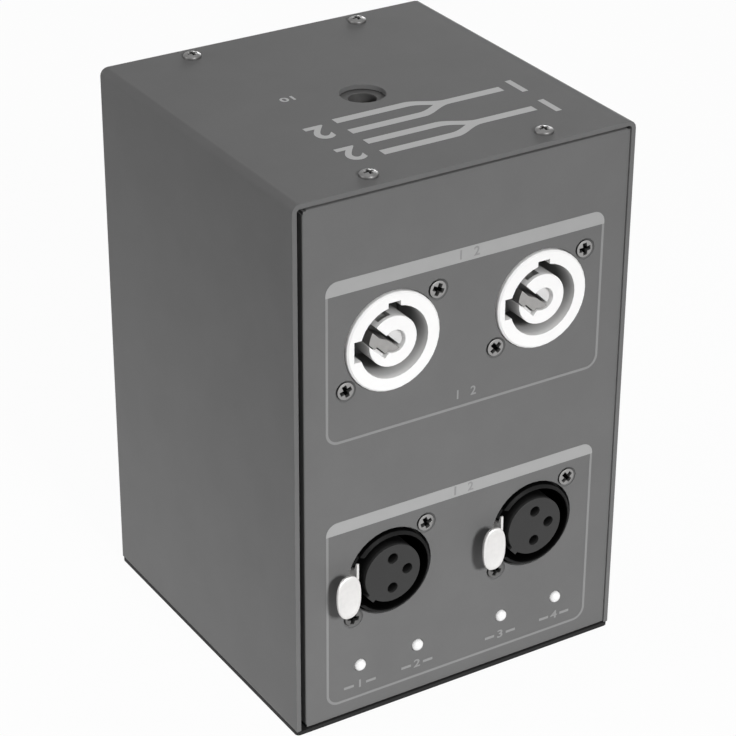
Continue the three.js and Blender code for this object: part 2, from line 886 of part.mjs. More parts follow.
// Places of everything in the two panels, as [x, z] on the panel
const powerOutPlaces = columns.map((x) => [x, powerHeight]);
const dataOutPlaces = columns.map((x) => [x, dataHeight]);
const lampPlaces = columns.flatMap((x) =>
  [-lampPitch / 2, lampPitch / 2].map((offset) => [x + offset, lampHeight]),
);
const powerInPlace = [0, powerHeight];
const dataInPlace = [0, dataHeight];

// The cuts that a socket needs in a panel: its round hole and two countersunk screw holes.
function socketCuts([x, z], holeRadius, across, rise) {
  const seats = [-1, 1].map((side) =>
    screwSeat(socketScrew, panelSheet).translate(side * across, 0, side * rise),
  );
  const hole = bar(holeRadius, [-overrun, panelSheet + overrun], fineSides);
  return [hole, ...seats].map((tool) => tool.translate(x, 0, z));
}

function powerCuts(place) {
  const { ringRadius, holeGap, screwAcross, screwUp } = powerSocket;
  return socketCuts(place, ringRadius + holeGap, screwAcross, screwUp);
}

function dataCuts(place) {
  const { holeRadius, screwOffset } = dataSocket;
  return socketCuts(place, holeRadius, screwOffset, screwOffset);
}

const lampCuts = lampPlaces.map(([x, z]) =>
  bar(lamp.radius + lamp.holeGap, [-overrun, panelSheet + overrun], screwSides).translate(x, 0, z),
);
const frontCuts = [...powerOutPlaces.flatMap(powerCuts), ...dataOutPlaces.flatMap(dataCuts), ...lampCuts];
const rearCuts = [...powerCuts(powerInPlace), ...dataCuts(dataInPlace)];
piece(
  "front_panel",
  cut(
    panelBody(front).translate(panelShift, 0, 0),
    frontCuts.map((tool) => tool.translate(0, -panelFace, 0)),
    foldHoles(-1),
  ),
  greyPaint,
);
piece(
  "rear_panel",
  cut(
    panelBody(back),
    rearCuts.map((tool) => tool.rotateZ(Math.PI).translate(0, panelFace, 0)),
    foldHoles(1),
  ),
  greyPaint,
);

// A socket's group: its origin is on the panel's face, and +Y of the group leads into the box.
function socketGroup([x, z], side) {
  const group = new THREE.Group();
  group.position.set(x, side * panelFace, z);
  group.rotation.z = side > 0 ? Math.PI : 0;
  splitter.add(group);
  return group;
}

const recessTurns = [20, 65, 40, 5, 75]; // degrees, how screws happen to stand when they are tight

let screwsSoFar = 0;

function socketScrews(name, group, across, rise) {
  [-1, 1].forEach((side, index) => {
    const mesh = piece(`${name}_screw_${index + 1}`, socketScrewGeometry, screwMetal, group);
    const turn = recessTurns[screwsSoFar % recessTurns.length];
    mesh.rotation.y = THREE.MathUtils.degToRad(turn);
    mesh.position.set(side * across, 0, side * rise);
    screwsSoFar += 1;
  });
}

const powerHousingGeometry = powerHousing();
const powerCoreGeometry = powerCoreSolid();
const dataShellGeometry = dataShell();
const dataInsertGeometry = dataInsertSolid();
const latchGeometry = latchSolid();
const latchPinGeometry = hingeBar(latch.pinRadius, housingHalf, screwSides);
const latchSpringGeometry = latchSpringSolid();

powerOutPlaces.forEach((place, index) => {
  const name = `power_out_${index + 1}`;
  const group = socketGroup(place, -1);
  piece(`${name}_housing`, powerHousingGeometry, whitePlastic, group);
  piece(`${name}_core`, powerCoreGeometry, whitePlastic, group);
  piece(`${name}_contact`, powerContactSolid(), brightMetal, group);
  socketScrews(name, group, powerSocket.screwAcross, powerSocket.screwUp);
});

dataOutPlaces.forEach((place, index) => {
  const name = `dmx_out_${index + 1}`;
  const group = socketGroup(place, -1);
  piece(`${name}_shell`, dataShellGeometry, blackPlastic, group);
  piece(`${name}_insert`, dataInsertGeometry, greyPlastic, group);
  piece(`${name}_latch`, latchGeometry, brightMetal, group);
  piece(`${name}_latch_pin`, latchPinGeometry, screwMetal, group);
  piece(`${name}_latch_spring`, latchSpringGeometry, springMetal, group);
  socketScrews(name, group, dataSocket.screwOffset, dataSocket.screwOffset);
});

lampPlaces.forEach((place, index) => {
  piece(`lamp_${index + 1}`, lampSolid(), milkyLens, socketGroup(place, -1));
});

const powerInGroup = socketGroup(powerInPlace, 1);
piece("power_in_housing", powerHousingGeometry, bluePlastic, powerInGroup);
piece("power_in_core", powerCoreGeometry, bluePlastic, powerInGroup);
socketScrews("power_in", powerInGroup, powerSocket.screwAcross, powerSocket.screwUp);

const dataInGroup = socketGroup(dataInPlace, 1);
piece("dmx_in_shell", dataInletShell(), blackPlastic, dataInGroup);
dataInlet.pinAngles.forEach((degrees, index) => {
  const pin = atAngle(dataPinSolid(), dataInsert.contactCircle, degrees);
  piece(`dmx_in_pin_${index + 1}`, pin, brightMetal, dataInGroup);
});
socketScrews("dmx_in", dataInGroup, dataSocket.screwOffset, dataSocket.screwOffset);

// Screws of the cover and the base
screwPlaces.forEach(([x, y], index) => {
  const top = piece(`cover_screw_${index + 1}`, coverScrewGeometry, screwMetal);
  top.rotation.x = -Math.PI / 2;
  top.position.set(x, y, boxHeight);
  const foot = piece(`base_screw_${index + 1}`, baseScrewGeometry, screwMetal);
  foot.rotation.x = Math.PI / 2;
  foot.position.set(x, y, 0);
});

// Circuit board behind the data sockets, with what is soldered to its back
const board = { sideGap: 5.8, from: 8, to: 57, thickness: 1.6 };
const boardHalf = halfWidth - coverSheet - board.sideGap;
const boardFront = boardDepth - panelFace;
const boardBack = boardFront + board.thickness;
piece(
  "circuit_board",
  block([-boardHalf, boardHalf], [boardFront, boardBack], [board.from, board.to]),
  boardGreen,
);

// A box soldered to the board's back: its middle, its size and the rounding of its edges.
function onBoard({ x, z, width, height, depth, corner }) {
  return plate(roundedRectangle(width, height, corner), [0, depth]).translate(
    x,
    boardBack + seatGap,
    z,
  );
}
const powerModule = { x: 16, z: 23, width: 36, height: 24, depth: 17, corner: 1.5 };
piece("power_module", onBoard(powerModule), moduleBlack);
const isolatorFromSide = 14;
const isolator = {
  x: isolatorFromSide - boardHalf,
  z: 16,
  width: 14,
  height: 8,
  depth: 3.2,
  corner: 0.6,
};
piece("signal_isolator", onBoard(isolator), moduleBlack);

const terminals = { x: 0, z: 50, width: 40, height: 10, depth: 12, corner: 1 };
const lead = { radius: 2.6, entryDepth: 4, entryGap: 0.3, bend: 26, dataRadius: 1.8, steps: 14 };
const leadPlaces = [-1, 0, 1].map((share) => (share * terminals.width) / 3);
const terminalTop = terminals.z + terminals.height / 2;
const terminalMiddle = boardBack + seatGap + terminals.depth / 2;
const entries = leadPlaces.map((x) =>
  upright(bar(lead.radius + lead.entryGap, [-overrun, lead.entryDepth], 2 * leadSteps)).translate(
    x,
    terminalMiddle,
    terminalTop,
  ),
);
piece("terminal_block", cut(onBoard(terminals), entries), terminalGreen);

// A lead on one smooth curve: straight out of its start, straight into its end.
function leadSolid(start, startDirection, end, endDirection, radius) {
  const curve = new THREE.CubicBezierCurve3(
    start,
    start.clone().addScaledVector(startDirection, lead.bend),
    end.clone().addScaledVector(endDirection, lead.bend),
    end,
  );
  const section = new THREE.Shape();
  section.absarc(0, 0, radius, 0, 2 * Math.PI);
  return new THREE.ExtrudeGeometry(section, {
    steps: lead.steps,
    curveSegments: leadSteps,
    extrudePath: curve,
  });
}

const powerLeadStart = powerSocket.bodyLength + powerCore.bossLength + leadGap - panelFace;
const leadEnds = leadPlaces.map(
  (x) => new THREE.Vector3(x, terminalMiddle, terminalTop - lead.entryDepth + leadGap),
);
piece(
  "outlet_1_lead",
  leadSolid(
    new THREE.Vector3(columns[0], powerLeadStart, powerHeight),
    back,
    leadEnds[0],
    up,
    lead.radius,
  ),
  leadBlack,
);
piece(
  "inlet_lead",
  leadSolid(
    new THREE.Vector3(0, -powerLeadStart, powerHeight),
    front,
    leadEnds[1],
    up,
    lead.radius,
  ),
  leadBlack,
);
piece(
  "outlet_2_lead",
  leadSolid(
    new THREE.Vector3(columns[1], powerLeadStart, powerHeight),
    back,
    leadEnds[2],
    up,
    lead.radius,
  ),
  leadBlack,
);
const dataLeadStart = panelFace - dataInlet.bodyLength - dataInlet.bossLength - leadGap;
const dataLeadEnd = { x: -24, z: 32 };
piece(
  "dmx_in_lead",
  leadSolid(
    new THREE.Vector3(0, dataLeadStart, dataHeight),
    front,
    new THREE.Vector3(dataLeadEnd.x, boardBack + leadGap, dataLeadEnd.z),
    back,
    lead.dataRadius,
  ),
  leadBlack,
);

export default splitter;
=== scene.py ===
import json
import math

import bmesh
import bpy
import numpy as np
from mathutils import Matrix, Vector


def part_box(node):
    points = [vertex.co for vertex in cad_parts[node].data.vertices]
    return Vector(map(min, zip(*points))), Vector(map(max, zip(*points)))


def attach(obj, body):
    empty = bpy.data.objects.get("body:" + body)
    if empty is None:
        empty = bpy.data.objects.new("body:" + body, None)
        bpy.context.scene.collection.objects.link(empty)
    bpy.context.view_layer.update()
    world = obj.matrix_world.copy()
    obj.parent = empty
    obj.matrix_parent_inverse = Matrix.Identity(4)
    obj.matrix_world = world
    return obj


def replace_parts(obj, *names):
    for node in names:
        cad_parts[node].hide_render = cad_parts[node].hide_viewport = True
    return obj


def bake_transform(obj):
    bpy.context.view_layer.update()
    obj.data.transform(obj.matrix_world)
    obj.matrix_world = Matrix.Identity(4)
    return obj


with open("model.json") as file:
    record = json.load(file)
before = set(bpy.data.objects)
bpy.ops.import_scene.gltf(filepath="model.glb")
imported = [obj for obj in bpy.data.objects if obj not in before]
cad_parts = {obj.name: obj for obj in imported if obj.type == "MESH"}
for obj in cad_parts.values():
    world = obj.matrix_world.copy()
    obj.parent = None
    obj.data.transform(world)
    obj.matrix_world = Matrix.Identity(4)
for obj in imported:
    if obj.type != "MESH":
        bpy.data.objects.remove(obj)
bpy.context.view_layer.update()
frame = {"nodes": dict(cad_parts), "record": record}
mm = 0.001
weld = 0.0005 * mm  # points closer than this become one
slack = 0.02  # how far a point may lie off a face or an arc and still count as on it, in mm
crisp = {"skin": 35, "screw": 30, "lens": 40, "pad": 40, "print": 30}  # degrees from which edges show
bodies = frame["record"]["behaviour"]["bodies"]
bodyOf = {node: body for body, nodes in bodies.items() for node in nodes}
slotOf = {part["node"]: part["material_slot"] for part in frame["record"]["subparts"]}
print("frame:", len(frame["nodes"]), "nodes")


# A socket on its way through a material. Maths on it adds Math nodes.
class Wire:
    def __init__(self, paint, socket):
        self.paint = paint
        self.socket = socket

    def maths(self, operation, first, second):
        return self.paint.node("ShaderNodeMath", {"operation": operation}, {0: first, 1: second})

    def __add__(self, other):
        return self.maths("ADD", self, other)

    def __sub__(self, other):
        return self.maths("SUBTRACT", self, other)

    def __rsub__(self, other):
        return self.maths("SUBTRACT", other, self)

    def __mul__(self, other):
        return self.maths("MULTIPLY", self, other)

    def __truediv__(self, other):
        return self.maths("DIVIDE", self, other)

    def least(self, other):
        return self.maths("MINIMUM", self, other)

    def most(self, other):
        return self.maths("MAXIMUM", self, other)

    def held(self):  # kept between 0 and 1
        return self.least(1.0).most(0.0)


# One material and the nodes in it.
class Paint:
    def __init__(self, name, **fixed):
        self.material = bpy.data.materials.new(name)
        self.material.use_nodes = True
        self.tree = self.material.node_tree
        self.shader = self.tree.nodes["Principled BSDF"]
        self.put(**fixed)

    def node(self, kind, settings=None, sockets=None, output=0):
        made = self.tree.nodes.new(kind)
        for key, value in (settings or {}).items():
            setattr(made, key, value)
        for key, value in (sockets or {}).items():
            self.join(value, made.inputs[key])
        return Wire(self, made.outputs[output])

    def join(self, value, socket):
        if isinstance(value, Wire):
            self.tree.links.new(value.socket, socket)
        elif isinstance(value, tuple) and socket.type == "RGBA":
            socket.default_value = (*value, 1)
        else:
            socket.default_value = value

    def put(self, **sockets):  # Base_Color=..., Roughness=... on the shader
        for key, value in sockets.items():
            self.join(value, self.shader.inputs[key.replace("_", " ")])
        return self

    def where(self):  # a point of the object in its own metres
        return self.node("ShaderNodeTexCoord", output=3)

    def along(self, where, axis):  # its distance along X, Y or Z
        split = self.node("ShaderNodeSeparateXYZ", None, {0: where})
        return Wire(self, split.socket.node.outputs["XYZ".index(axis)])

    def noise(self, where, grain, detail=2.0, roughness=0.5):  # grain: size of one grain in metres
        sockets = {"Vector": where, "Scale": 1 / grain, "Detail": detail, "Roughness": roughness}
        return self.node("ShaderNodeTexNoise", None, sockets)

    def blend(self, factor, first, second):  # 0 gives the first colour, 1 the second
        sockets = {"Factor": factor, 6: first, 7: second}
        return self.node("ShaderNodeMix", {"data_type": "RGBA"}, sockets, 2)

    def fade(self, where, depths, shares):  # a line from share to share as |Y| in mm passes the depths
        far = self.node("ShaderNodeMath", {"operation": "ABSOLUTE"}, {0: self.along(where, "Y")}) / mm
        share = shares[0]
        for step in (0, 1):
            passed = ((depths[step] - far) / (depths[step] - depths[step + 1])).held()
            share = share - passed * (shares[step] - shares[step + 1])
        return share

    def bump(self, height, strength, distance):
        sockets = {"Height": height, "Strength": strength, "Distance": distance}
        return self.node("ShaderNodeBump", None, sockets)


# The linear value of a grey between 0 and 255.
def grey(level):
    part = level / 255
    return ((part + 0.055) / 1.055) ** 2.4 if part > 0.04 else part / 12.92


# A grey with a little more red and less blue.
def tint(level, warmth=0.0):
    base = grey(level)
    return (base * (1 + warmth), base, base * (1 - warmth))


# Grain, clouds and depth of the bump in mm, and the other values of powder coat
coat = {
    "grain": 0.3, "clouds": 14, "cloudShare": 0.6, "sharpness": 2.2,
    "gloss": 0.2, "bump": 0.35, "depth": 0.012, "specular": 0.2,
}


# Powder coat: a colour between two close greys by slow clouds, with fine grain in colour, gloss and
# bump. The mix is 0.5 + sharpness * (share * clouds + (1 - share) * grain - 0.5).
def powderCoat(name, level, roughness=0.75, contrast=3):
    paint = Paint(name)
    where = paint.where()
    fine = paint.noise(where, coat["grain"] * mm, 3.0, 0.6)
    clouds = paint.noise(where, coat["clouds"] * mm, 3.0, 0.55)
    mixed = clouds * coat["cloudShare"] + fine * (1 - coat["cloudShare"]) - 0.5
    mixed = (mixed * coat["sharpness"] + 0.5).held()
    paint.put(
        Base_Color=paint.blend(mixed, tint(level - contrast), tint(level + contrast)),
        Roughness=fine * coat["gloss"] + (roughness - coat["gloss"] / 2),
        Normal=paint.bump(fine, coat["bump"], coat["depth"] * mm),
        Specular_IOR_Level=coat["specular"],
    )
    return paint


# Waves and grain in mm, their shares of the gloss, and a grey's levels up and down
plastic = {
    "waves": 4, "grain": 0.2, "waveGloss": 0.12, "grainGloss": 0.1, "bump": 0.3, "contrast": 3,
}


# Moulded plastic: slow waves in colour and gloss, fine grain in the bump. A painted shade darkens it
# inwards.
def moulded(name, light, dark, roughness, depth=0.004, paintedShade=None):
    paint = Paint(name)
    where = paint.where()
    waves = paint.noise(where, plastic["waves"] * mm)
    fine = paint.noise(where, plastic["grain"] * mm, 2.0, 0.6)
    colour = paint.blend(waves, dark, light)
    # Painted shade: deeper inside a socket the colour goes towards black, for the shade in its recess.
    if paintedShade:
        colour = paint.blend(paint.fade(where, **paintedShade), (0.0, 0.0, 0.0), colour)
    gloss = (waves - 0.5) * plastic["waveGloss"] + (fine - 0.5) * plastic["grainGloss"] + roughness
    paint.put(Base_Color=colour, Roughness=gloss, Normal=paint.bump(fine, plastic["bump"], depth * mm))
    return paint


# Moulded plastic of one grey, from a little lighter to a little darker.
def moulding(name, level, roughness, warmth=0.0, depth=0.004, paintedShade=None):
    light = tint(min(level + plastic["contrast"], 255), warmth)
    dark = tint(level - plastic["contrast"], warmth)
    return moulded(name, light, dark, roughness, depth, paintedShade)


# Spots, grain and depth of the bump in mm, a grey's levels up and down, and how dark and dull painted
# shade is
plating = {
    "spots": 1.6, "grain": 0.25, "contrast": 8, "gloss": 0.25, "bump": 0.2, "depth": 0.008,
    "shadeLevel": 4, "shadeDull": 0.4,
}


# Plated metal: spots in the colour, fine grain in gloss and bump. Where the piece has an attribute that
# marks painted shade, in a screw's middle and cross recess, the metal goes nearly black and dull.
def plated(name, level, roughness, warmth=0.01, recessShade=None):
    paint = Paint(name, Metallic=1.0)
    where = paint.where()
    fine = paint.noise(where, plating["grain"] * mm, 3.0, 0.6)
    spots = paint.noise(where, plating["spots"] * mm)
    light = tint(min(level + plating["contrast"], 255), warmth)
    colour = paint.blend(spots, tint(level - plating["contrast"], warmth), light)
    gloss = (fine - 0.5) * plating["gloss"] + roughness
    # Painted shade: the marked recess goes nearly black and dull.
    if recessShade:
        recessShaded = paint.node("ShaderNodeAttribute", {"attribute_name": recessShade}, None, 2)
        colour = paint.blend(recessShaded, colour, tint(plating["shadeLevel"]))
        gloss = gloss + recessShaded * plating["shadeDull"]
    bump = paint.bump(fine, plating["bump"], plating["depth"] * mm)
    paint.put(Base_Color=colour, Roughness=gloss, Normal=bump)
    return paint


# Painted shade: the sockets' colour darkens inwards, standing for the shade in their recesses.
# Distances from the box's middle along Y, in mm, and the share of the colour left at each
paintedShades = {
    "outlet": {"depths": (44.8, 43.4, 38.5), "shares": (1.0, 0.7, 0.26)},
    "shell": {"depths": (45.2, 44.6, 40.0), "shares": (1.0, 0.3, 0.1)},
    "insert": {"depths": (45.3, 44.9, 43.5), "shares": (1.0, 0.35, 0.02)},
}
finishes = {
    "painted_sheet": powderCoat("powder_coat_grey", 110),
    # The base plate's black is partly its own coat and partly painted shade, for the dark line along
    # the box's foot.
    "black_painted_sheet": powderCoat("black_coat_and_foot_shade", 34, 0.7, 2),
    "white_plastic": moulding("white_nylon", 250, 0.42, 0.004, 0.004, paintedShades["outlet"]),
    "blue_plastic": moulded("blue_nylon", (0.04, 0.12, 0.46), (0.03, 0.1, 0.4), 0.35),
    "black_plastic": moulding("black_nylon", 20, 0.35, 0.0, 0.004, paintedShades["shell"]),
    "grey_plastic": moulding("grey_insert", 54, 0.6, 0.0, 0.006, paintedShades["insert"]),
    "bright_metal": plated("nickel_plate", 226, 0.4, 0.014),
    "screw_steel": plated("zinc_plate", 152, 0.38, recessShade="recessShade"),
    "spring_steel": plated("spring_steel", 170, 0.3),
    "lamp_plastic": moulding("milky_lens", 246, 0.2),
    "board": moulded("board_green", (0.03, 0.15, 0.06), (0.02, 0.1, 0.04), 0.45),
    "black_module": moulding("module_black", 30, 0.5, 0.0, 0.01),
    "green_plastic": moulded("terminal_green", (0.05, 0.34, 0.09), (0.04, 0.28, 0.07), 0.4),
    "lead_sheath": moulding("lead_black", 28, 0.45),
}
finishes["black_plastic"].put(Specular_IOR_Level=0.12)
finishes["grey_plastic"].put(Specular_IOR_Level=0.2)
finishes["bright_metal"].put(Metallic=0.45)
contactMetal = plated("contact_plate", 160, 0.5, 0.02)
# Painted shade: dark steel for the clamp plate, so that it and its bore read dark under the hole in the
# cover's top.
holeShadeSteel = plated("hole_shade_steel", 84, 0.6).put(Metallic=0.3)
# Darker, duller zinc: the cover screws' own tone, and painted shade on the two screws under the thumb
# pads.
dullZincAndPadShade = plated("dull_zinc_and_pad_shade", 112, 0.45, recessShade="recessShade")
print("finishes:", len(finishes))


# A finished mesh as an object with its finish, on its body and in its material slot.
def addPiece(name, mesh, body, slotName, paint=None):
    piece = bpy.data.objects.new(name, mesh)
    bpy.context.scene.collection.objects.link(piece)
    mesh.materials.clear()
    mesh.materials.append((paint or finishes[slotName]).material)
    if body:
        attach(piece, body)
    return piece


# Edges sharper than the given turn stay crisp, all others are shaded round.
def shadeRound(work, turn):
    for face in work.faces:
        face.smooth = True
    for edge in work.edges:
        edge.smooth = edge.calc_face_angle(0) < math.radians(turn)


# Seams and poles merged, faces turned outwards.
def tidyMesh(mesh, turn):
    work = bmesh.new()
    work.from_mesh(mesh)
    bmesh.ops.remove_doubles(work, verts=work.verts, dist=weld)
    bmesh.ops.dissolve_degenerate(work, edges=work.edges, dist=weld)
    bmesh.ops.recalc_face_normals(work, faces=work.faces)
    shadeRound(work, turn)
    work.to_mesh(mesh)
    work.free()
    return mesh


# A grid of rows x columns points joined by four-sided faces. Closed rows join their last point to their
# first.
def gridMesh(name, points, closedRows=False):
    rows, columns = points.shape[:2]
    steps = columns if closedRows else columns - 1
    i, j = np.meshgrid(np.arange(rows - 1), np.arange(steps), indexing="ij")
    nextI, nextJ = i + 1, (j + 1) % columns
    ring = [i * columns + j, i * columns + nextJ, nextI * columns + nextJ, nextI * columns + j]
    mesh = bpy.data.meshes.new(name)
    mesh.from_pydata(points.reshape(-1, 3).tolist(), [], np.stack(ring, -1).reshape(-1, 4).tolist())
    return mesh


# A profile of (radius, height) rows turned about an axis: x = r cos a, y = r sin a, z = h.
def turnedPoints(profile, sides):
    profile = np.array(profile, float)
    angle = np.linspace(0, 2 * math.pi, sides, endpoint=False)
    radius, height = profile[:, :1], profile[:, 1:]
    across = radius * np.cos(angle)
    aside = radius * np.sin(angle)
    return np.stack([across, aside, np.broadcast_to(height, across.shape)], -1)


towards = {
    "front": Matrix.Rotation(math.pi / 2, 4, "X"),
    "back": Matrix.Rotation(-math.pi / 2, 4, "X"),
    "up": Matrix.Identity(4),
    "down": Matrix.Rotation(math.pi, 4, "X"),
}


# A form drawn about Z with its outside towards +Z, set down at a place and turned to face a side.
def face(mesh, side, place):
    mesh.transform(Matrix.Translation(place) @ towards[side])
    return mesh


# The front panel's folds: outside radius in the CAD model and of the drawn edge, how far the top edge
# stands lower to open the dark line under the cover, and how far the side edges stand to the right,
# which widens the line at the left and closes the one at the right. Points within reach of an edge
# move with it.
folds = {"from": 1.5, "to": 0.35, "lower": 0.3, "aside": 0.35, "reach": 1.6}


# Tighter folds. A point on a fold's outside arc is found by its distance from the arc's centre, and its
# distances from the two flat faces shrink by the ratio of the radii.
def tightFolds(node, points):
    low, high = (np.array(corner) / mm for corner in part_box(node))
    start, ratio, reach = folds["from"], folds["to"] / folds["from"], folds["reach"]
    x, y, z = points.T
    z = z - np.where(high[2] - z < reach, folds["lower"], 0)
    x = x + np.where(np.minimum(x - low[0], high[0] - x) < reach, folds["aside"], 0)
    low[0] += folds["aside"]
    high += (folds["aside"], 0, -folds["lower"])
    behind = y - low[1]
    shrunk = np.zeros(len(points), bool)
    for axis, value in ((0, x), (2, z)):
        middle = (low[axis] + high[axis]) / 2
        away = np.sign(value - middle)
        inward = (high[axis] - low[axis]) / 2 - np.abs(value - middle)
        onArc = np.abs(np.hypot(start - inward, start - behind) - start) < slack
        onArc &= (inward < start + slack) & (behind < start + slack)
        moved = value + away * np.where(onArc, inward * (1 - ratio), 0)
        shrunk |= onArc
        if axis == 0:
            x = moved
        else:
            z = moved
    return np.column_stack([x, low[1] + np.where(shrunk, behind * ratio, behind), z])


rounding = {"steps": 2, "flat": 0.2}  # steps over an edge, and the turn in degrees that is no edge


# A CAD node's own shape with its edges rounded and its curves shaded round. A piece given a bend is put
# on no body and its place is baked into its points; the bend's body, root and tip are not used.
def dress(node, bevel, paint=None, reshape=None, bend=None):
    mesh = frame["nodes"][node].data.copy()
    mesh.name = node + "_skin"
    if reshape:
        points = np.empty(len(mesh.vertices) * 3, np.float32)
        mesh.vertices.foreach_get("co", points)
        mesh.vertices.foreach_set("co", (reshape(node, points.reshape(-1, 3) / mm) * mm).ravel())
    work = bmesh.new()
    work.from_mesh(mesh)
    bmesh.ops.remove_doubles(work, verts=work.verts, dist=weld)
    flat = math.radians(rounding["flat"])
    bmesh.ops.dissolve_limit(work, angle_limit=flat, verts=work.verts, edges=work.edges)
    shadeRound(work, crisp["skin"])
    work.to_mesh(mesh)
    work.free()
    piece = addPiece(node + "_skin", mesh, None if bend else bodyOf[node], slotOf[node], paint)
    if bend:
        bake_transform(piece)
    if bevel:
        edges = piece.modifiers.new("rounding", "BEVEL")
        edges.width = bevel * mm
        edges.segments = rounding["steps"]
        edges.limit_method = "ANGLE"
        edges.angle_limit = math.radians(crisp["skin"])
    shading = piece.modifiers.new("shading", "WEIGHTED_NORMAL")
    shading.keep_sharp = True
    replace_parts(piece, node)
    return piece


screwKinds = {
    "socket": {
        "radius": 2.1, "crown": 0.25, "side": 0.0, "fall": 1.6, "rim": 0.15, "cone": 1.1,
        "shank": 1.5, "length": 8, "cross": 1.45, "crossHalf": 0.48, "crossDepth": 1.3,
    },
    "cover": {
        "radius": 2.2, "crown": 1.2, "side": 0.5, "fall": 1.0, "rim": 0.0, "cone": 0.0,
        "shank": 1.25, "length": 6, "cross": 1.2, "crossHalf": 0.34, "crossDepth": 1.0,
    },
    "base": {
        "radius": 2.35, "crown": 0.0, "side": 0.0, "fall": 1.6, "rim": 0.1, "cone": 0.8,
        "shank": 1.25, "length": 6, "cross": 1.35, "crossHalf": 0.32, "crossDepth": 0.8,
    },
}
screwTurns = [20, 65, 40, 5, 75]  # the same order as the CAD model's screws
# For all kinds: points round a screw and rows from its middle to its rim, how far the walls of a cross
# slope, how it gets shallower outwards, and the tip of the shank
screwForm = {
    "sides": 120, "rows": 26, "wall": 0.12, "taper": 1.6, "taperPower": 0.4,
    "tipLength": 0.6, "tipInset": 0.5,
}


# Rows go over the crown from the middle to the rim and down the cone and shank. The crown's height is
# side + (crown - side) * sqrt(1 - r^2) ^ fall. It is sunk by the cross's depth wherever a point is less
# than a half width from one arm's centre line and less than an arm's length along it. The cross gets
# shallower outwards by (1 - r / (taper * arm)) ^ taperPower.
def screwMesh(name, kind, turn):
    spec = screwKinds[kind] | screwForm
    angle = np.linspace(0, 2 * math.pi, spec["sides"], endpoint=False)
    share = np.linspace(0, 1, spec["rows"] + 1)[1:, None]
    rise = np.sqrt(np.clip(1 - share**2, 0, 1)) ** spec["fall"]
    height = spec["side"] + (spec["crown"] - spec["side"]) * rise
    x = spec["radius"] * share * np.cos(angle)
    y = spec["radius"] * share * np.sin(angle)
    armX = np.maximum(np.abs(x) - spec["cross"], np.abs(y) - spec["crossHalf"])
    armY = np.maximum(np.abs(y) - spec["cross"], np.abs(x) - spec["crossHalf"])
    sunk = np.clip(0.5 - np.minimum(armX, armY) / spec["wall"], 0, 1)
    taper = np.clip(1 - np.hypot(x, y) / (spec["cross"] * spec["taper"]), 0, 1) ** spec["taperPower"]
    head = np.stack([x, y, height - sunk * taper * spec["crossDepth"]], -1)
    middle = turnedPoints([(0, spec["crown"] - spec["crossDepth"])], len(angle))
    coneFoot = -spec["rim"] - spec["cone"]
    below = [
        (spec["radius"], -spec["rim"]),
        (spec["shank"], coneFoot),
        (spec["shank"], spec["tipLength"] - spec["length"]),
        (spec["shank"] - spec["tipInset"], -spec["length"]),
        (0, -spec["length"]),
    ]
    points = np.concatenate([middle, head, turnedPoints(below, len(angle))])
    spin = math.radians(turn)
    spun = [[math.cos(spin), math.sin(spin)], [-math.sin(spin), math.cos(spin)]]
    points[..., :2] = points[..., :2] @ np.array(spun)
    mesh = gridMesh(name, points * mm, closedRows=True)
    # Painted shade: the middle point and the sunk cross are marked, and their metal goes nearly black.
    recessShade = np.zeros(points.shape[:2])
    recessShade[0] = 1
    recessShade[1 : 1 + len(head)] = sunk
    mesh.attributes.new("recessShade", "FLOAT", "POINT").data.foreach_set("value", recessShade.ravel())
    return tidyMesh(mesh, crisp["screw"])


# A screw set down where its node's crown is, turned to face its side.
def placeScrew(node, kind, turn, side, paint=None):
    low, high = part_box(node)
    middle = (low + high) / 2
    crown = screwKinds[kind]["crown"] * mm
    seats = {
        "front": (middle.x, low.y + crown, middle.z),
        "back": (middle.x, high.y - crown, middle.z),
        "up": (middle.x, middle.y, high.z - crown),
        "down": (middle.x, middle.y, low.z + crown),
    }
    mesh = face(screwMesh(node + "_skin", kind, turn), side, seats[side])
    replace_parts(addPiece(node + "_skin", mesh, "box", "screw_steel", paint), node)


socketNames = ("power_out_1", "power_out_2", "dmx_out_1", "dmx_out_2", "power_in", "dmx_in")
socketScrews = [f"{name}_screw_{count}" for name in socketNames for count in (1, 2)]
# Painted shade: these two screws take the darker zinc, standing for the thumb pads' shadow on them.
underPads = ("dmx_out_1_screw_1", "dmx_out_2_screw_1")  # duller, in the thumb pads' shade
for count, node in enumerate(socketScrews):
    side = "back" if "_in_" in node else "front"
    paint = dullZincAndPadShade if node in underPads else None
    placeScrew(node, "socket", screwTurns[count % len(screwTurns)], side, paint)
for count in range(1, 5):
    placeScrew(f"cover_screw_{count}", "cover", 0, "up", dullZincAndPadShade)
    placeScrew(f"base_screw_{count}", "base", 0, "down")
print("screws:", len(socketScrews) + 8)


lens = {
    "radius": 1.5, "dome": 1.1, "collar": 2.4, "collarFrom": 1.6, "collarTo": 2.6,
    "steps": 13, "sides": 48,
}


